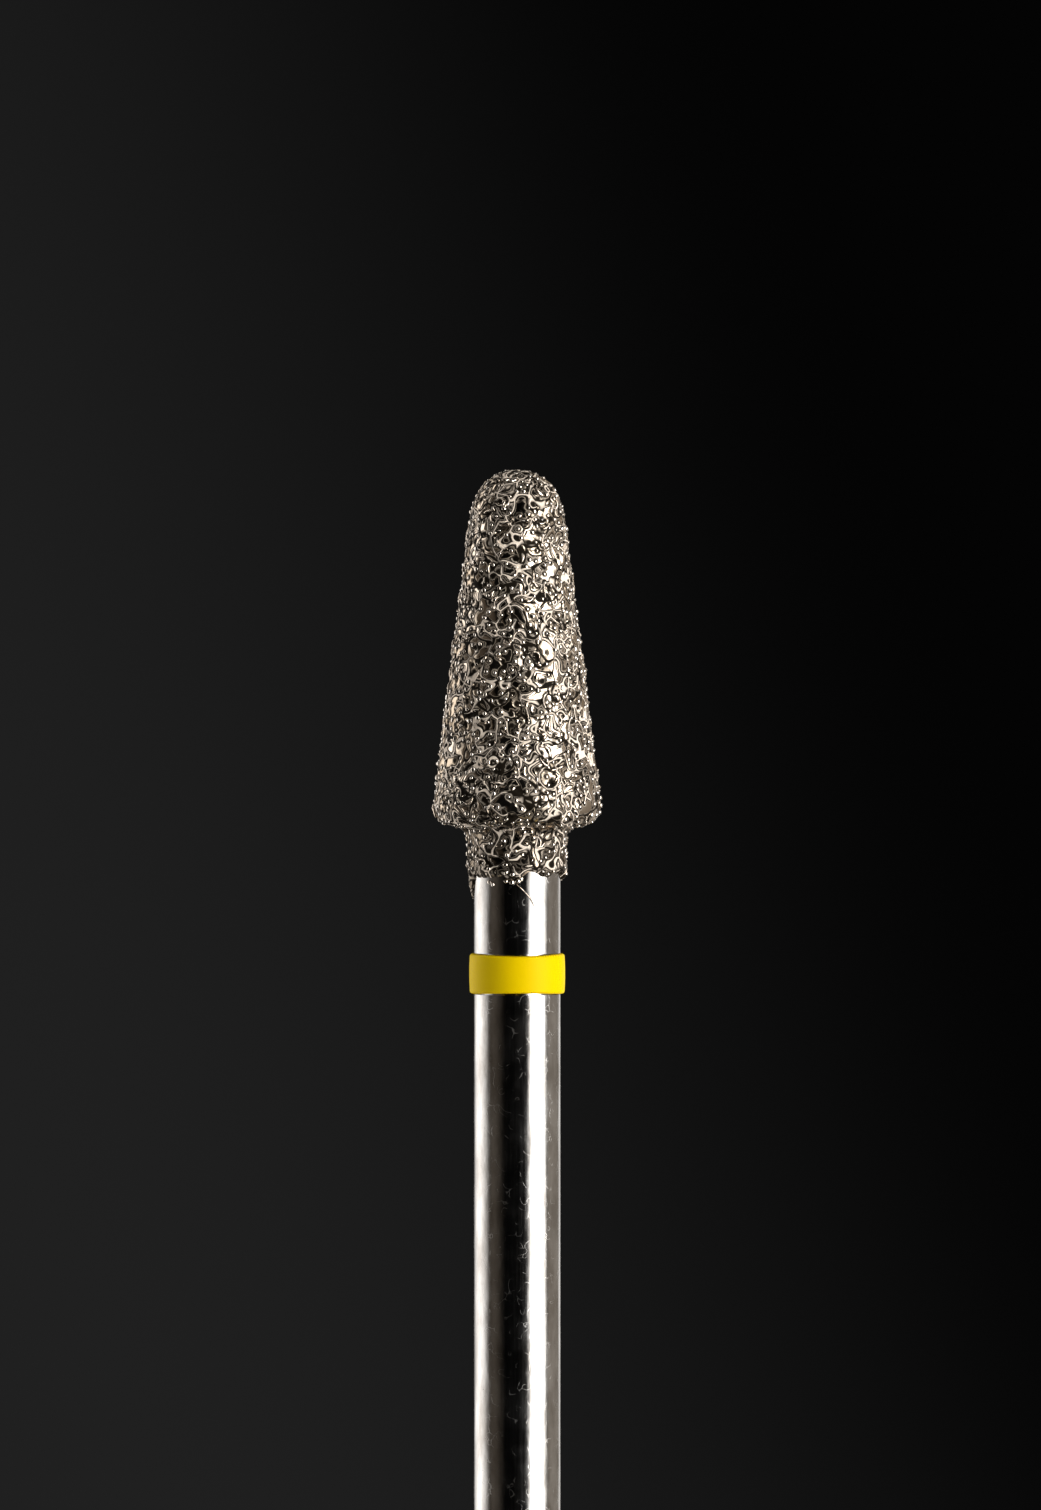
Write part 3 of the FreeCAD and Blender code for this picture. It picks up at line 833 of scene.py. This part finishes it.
def random_turn(chance):
    """A random rotation matrix."""
    quaternion = chance.normal(size=4)
    w, x, y, z = quaternion / np.linalg.norm(quaternion)
    return np.array(((1 - 2 * (y * y + z * z), 2 * (x * y - z * w), 2 * (x * z + y * w)),
                     (2 * (x * y + z * w), 1 - 2 * (x * x + z * z), 2 * (y * z - x * w)),
                     (2 * (x * z - y * w), 2 * (y * z + x * w), 1 - 2 * (x * x + y * y))))


def takes(place, taken):
    """Take a place, unless a taken one lies within the crystals' spacing."""
    key = tuple((place // CRYSTAL_SPACING).astype(int))
    near = [spot for i in (-1, 0, 1) for j in (-1, 0, 1) for k in (-1, 0, 1)
            for spot in taken.get((key[0] + i, key[1] + j, key[2] + k), ())]
    if any(((place - spot) ** 2).sum() < CRYSTAL_SPACING ** 2 for spot in near):
        return False
    taken.setdefault(key, []).append(place)
    return True


def crystal_piece(coat, material):
    """Rounded and sharp crystals scattered over the coat, sunk in it by more than half of their height."""
    places, ways = surface(coat)
    chance = np.random.default_rng(CRYSTAL_SEED)
    order = chance.permutation(coat_points(places))
    band = hump(np.arctan2(places[:, 1], places[:, 0]), CROWDED, CROWD_WIDTH)
    crowds = smooth_step(waves(places, CROWD_SPACING, CROWD_SEED) + band, *CROWD_PEAKS)
    crowds = LEAST_CROWD + (1 - LEAST_CROWD) * crowds
    rounds = (crystal_shapes(*ROUND_SHAPES), ROUND_SIZES, ROUND_SINKS)
    sharps = (crystal_shapes(*SHARP_SHAPES), SHARP_SIZES, SHARP_SINKS)
    taken = {}
    points = []
    levels = []
    faces = []
    smooth = []
    spots = []
    total = 0
    for number in order:
        place = places[number]
        if chance.random() > crowds[number] or not takes(place, taken):
            continue
        is_round = chance.random() < ROUND_SHARE
        shapes, sizes, sinks = rounds if is_round else sharps
        corners, triangles = shapes[chance.integers(len(shapes))]
        size = chance.uniform(*sizes)
        sink = chance.uniform(*sinks)
        around = corners @ random_turn(chance).T * chance.uniform(*STRETCHES, 3)
        points.append(place + (around + ways[number] * sink) * size)
        levels.append(np.clip(WATERLINE_LEVEL + LEVEL_RISE * (around @ ways[number] + sink), 0, 1))
        faces.append(triangles + total)
        smooth.append(np.full(len(triangles), is_round))
        spots.append(place)
        total += len(corners)
    for x, z in STRAYS:
        corners, triangles = rounds[0][chance.integers(len(rounds[0]))]
        points.append(front_of_shank(x, z)[0] + corners * chance.uniform(*ROUND_SIZES))
        levels.append(np.ones(len(corners)))
        faces.append(triangles + total)
        smooth.append(np.ones(len(triangles), bool))
        total += len(corners)
    piece = new_piece("diamond_crystals", held_in(np.vstack(points)), np.vstack(faces).tolist(), material)
    piece.data.polygons.foreach_set("use_smooth", np.concatenate(smooth))
    record_level(piece, np.concatenate(levels))
    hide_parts("diamond_grit")
    return piece, spots


steel = steel_piece(steel_material())
ring = ring_piece(yellow_material())
nickel = nickel_material()
coat = coat_piece(nickel)
ridges, ridge_spots = ridges_piece(coat, nickel)
crystals, crystal_spots = crystal_piece(coat, crystal_material())
shade_round(coat, ridge_spots, RIDGE_SHADE)
shade_round(coat, crystal_spots, CRYSTAL_SHADE)
for piece in (steel, ring, coat, ridges, crystals):
    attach(piece, "root")
    print(piece.name, sum(len(face.vertices) - 2 for face in piece.data.polygons), "triangles")


# Floor, light and surroundings

FLOOR_RADIUS = 15
FLOOR_THICKNESS = 1
FLOOR_DARK = (0.55, 0.54, 0.52, 1)
FLOOR_LIGHT = (0.59, 0.58, 0.56, 1)


def floor_piece():
    material, shader, nodes = new_material("pale_floor")
    tone = nodes.blend(nodes.noise(nodes.place(), 6), FLOOR_DARK, FLOOR_LIGHT)
    nodes.fill(shader, {"Base Color": tone, "Roughness": 0.7})
    outline = [(0, -FLOOR_THICKNESS), (FLOOR_RADIUS, -FLOOR_THICKNESS), (FLOOR_RADIUS, 0), (0, 0)]
    points, faces = turned(outline, 128)
    return new_piece("floor", points, faces, material, sharp=30)


floor_piece()

LAMP_DISTANCE = 0.25
LAMP_HEIGHT = 0.38


def softbox(name, first, last, radiance, colour, fade, height=LAMP_HEIGHT, rise=0.0, mirrored=True):
    """A tall lamp that faces the part, between two angles to the right of the camera, in degrees.

    Its light fades out towards both sides over that share of its width. Unless it is mirrored, only
    the paint and the floor show it.
    """
    data = bpy.data.lights.new(name, "AREA")
    data.shape = "RECTANGLE"
    data.size = 2 * LAMP_DISTANCE * math.tan(math.radians((last - first) / 2))
    data.size_y = height
    data.energy = radiance * math.pi * data.size * data.size_y
    data.color = colour
    data.use_nodes = True
    nodes = Nodes(data.node_tree)
    across = nodes.part(nodes.add("NewGeometry", "Parametric"), "X")
    sides = [nodes.spread(across, 0.0, 1.0, *ends, "SMOOTHSTEP") for ends in ((0, fade), (1, 1 - fade))]
    nodes.fill(data.node_tree.nodes["Emission"], {"Strength": nodes.calc("MULTIPLY", *sides)})
    lamp = bpy.data.objects.new(name, data)
    turn = math.radians((first + last) / 2)
    tilt = math.radians(rise)
    way = Vector((math.sin(turn) * math.cos(tilt), -math.cos(turn) * math.cos(tilt), math.sin(tilt)))
    lamp.location = Vector((0, 0, AIM.z)) + way * LAMP_DISTANCE
    lamp.rotation_euler = way.to_track_quat("Z", "Y").to_euler()
    lamp.visible_camera = False
    lamp.visible_glossy = mirrored
    bpy.context.scene.collection.objects.link(lamp)


softbox("key_lamp", 25, 88, 10.8, (1.0, 0.985, 0.96), 0.68)
softbox("left_fill_lamp", -100, -32, 0.075, (1.0, 0.84, 0.68), 0.55)
softbox("back_left_lamp", -166, -77, 1.7, (1.0, 0.975, 0.95), 0.5)
softbox("right_fill_lamp", 82, 146, 0.27, (1.0, 0.89, 0.77), 0.2)
softbox("right_rim_lamp", 138, 170, 0.9, (1.0, 0.97, 0.94), 0.4)
softbox("paint_lamp", -150, -20, 0.6, (1.0, 0.98, 0.96), 0.3, mirrored=False)
softbox("top_lamp", -10, 40, 0.6, (1.0, 0.97, 0.94), 0.3, height=0.16, rise=70)

GLOW_WAY = (1.0, 0.0, 0.35)
GLOW_REACH = (-0.11, 0.08)
GLOW_TONES = (0.0145, 0.0012)
AHEAD_REACH = (0.0, 0.3)
AHEAD_SHARES = (0.1, 1.0)


def dark_room():
    """A nearly black room, with a faint glow at the left behind the part, and darker behind the camera."""
    world = bpy.data.worlds.new("dark_room")
    world.use_nodes = True
    nodes = Nodes(world.node_tree)
    direction = nodes.add("TexCoord", "Generated")
    slant = nodes.add("VectorMath", "Value", {0: direction, 1: GLOW_WAY}, operation="DOT_PRODUCT")
    glow = nodes.spread(slant, *GLOW_TONES, *GLOW_REACH, "SMOOTHSTEP")
    ahead = nodes.spread(nodes.part(direction, "Y"), *AHEAD_SHARES, *AHEAD_REACH, "SMOOTHSTEP")
    nodes.fill(world.node_tree.nodes["Background"], {"Color": glow, "Strength": ahead})
    return world


bpy.context.scene.world = dark_room()
